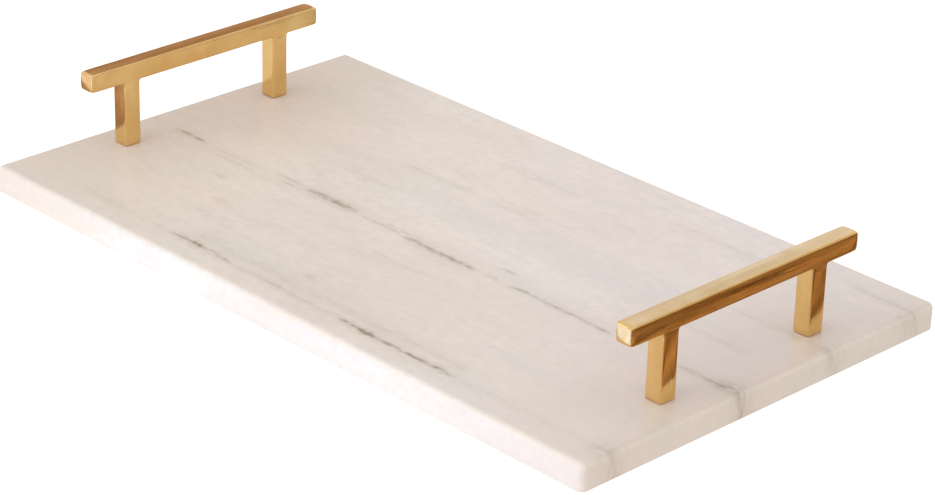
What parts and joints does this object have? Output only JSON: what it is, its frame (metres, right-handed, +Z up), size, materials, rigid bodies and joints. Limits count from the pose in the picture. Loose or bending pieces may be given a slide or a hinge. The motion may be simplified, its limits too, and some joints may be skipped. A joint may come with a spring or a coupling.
{
  "type": "vanity tray",
  "caption": "Rectangular polished marble vanity tray with eased edges, low rubber feet and a square brass bar handle on posts across each end.",
  "frame": {"origin": "under the centre of the slab, on the plane of the feet's undersides", "axes": "+X along the tray's length towards the right handle, +Y across it to the back, +Z up"},
  "size_m": [0.4, 0.23, 0.0592],
  "materials": {
    "marble": "polished, warm white with grey veins",
    "brass": "cast and hand polished",
    "steel": "bright zinc plate",
    "rubber": "matte"
  },
  "bodies": {
    "root": {"marble_slab": "marble", "handle_left": "brass", "screw_left_front": "steel", "washer_left_front": "steel", "foot_left_front": "rubber", "screw_left_back": "steel", "washer_left_back": "steel", "foot_left_back": "rubber", "handle_right": "brass", "screw_right_front": "steel", "washer_right_front": "steel", "foot_right_front": "rubber", "screw_right_back": "steel", "washer_right_back": "steel", "foot_right_back": "rubber"}
  },
  "joints": []
}
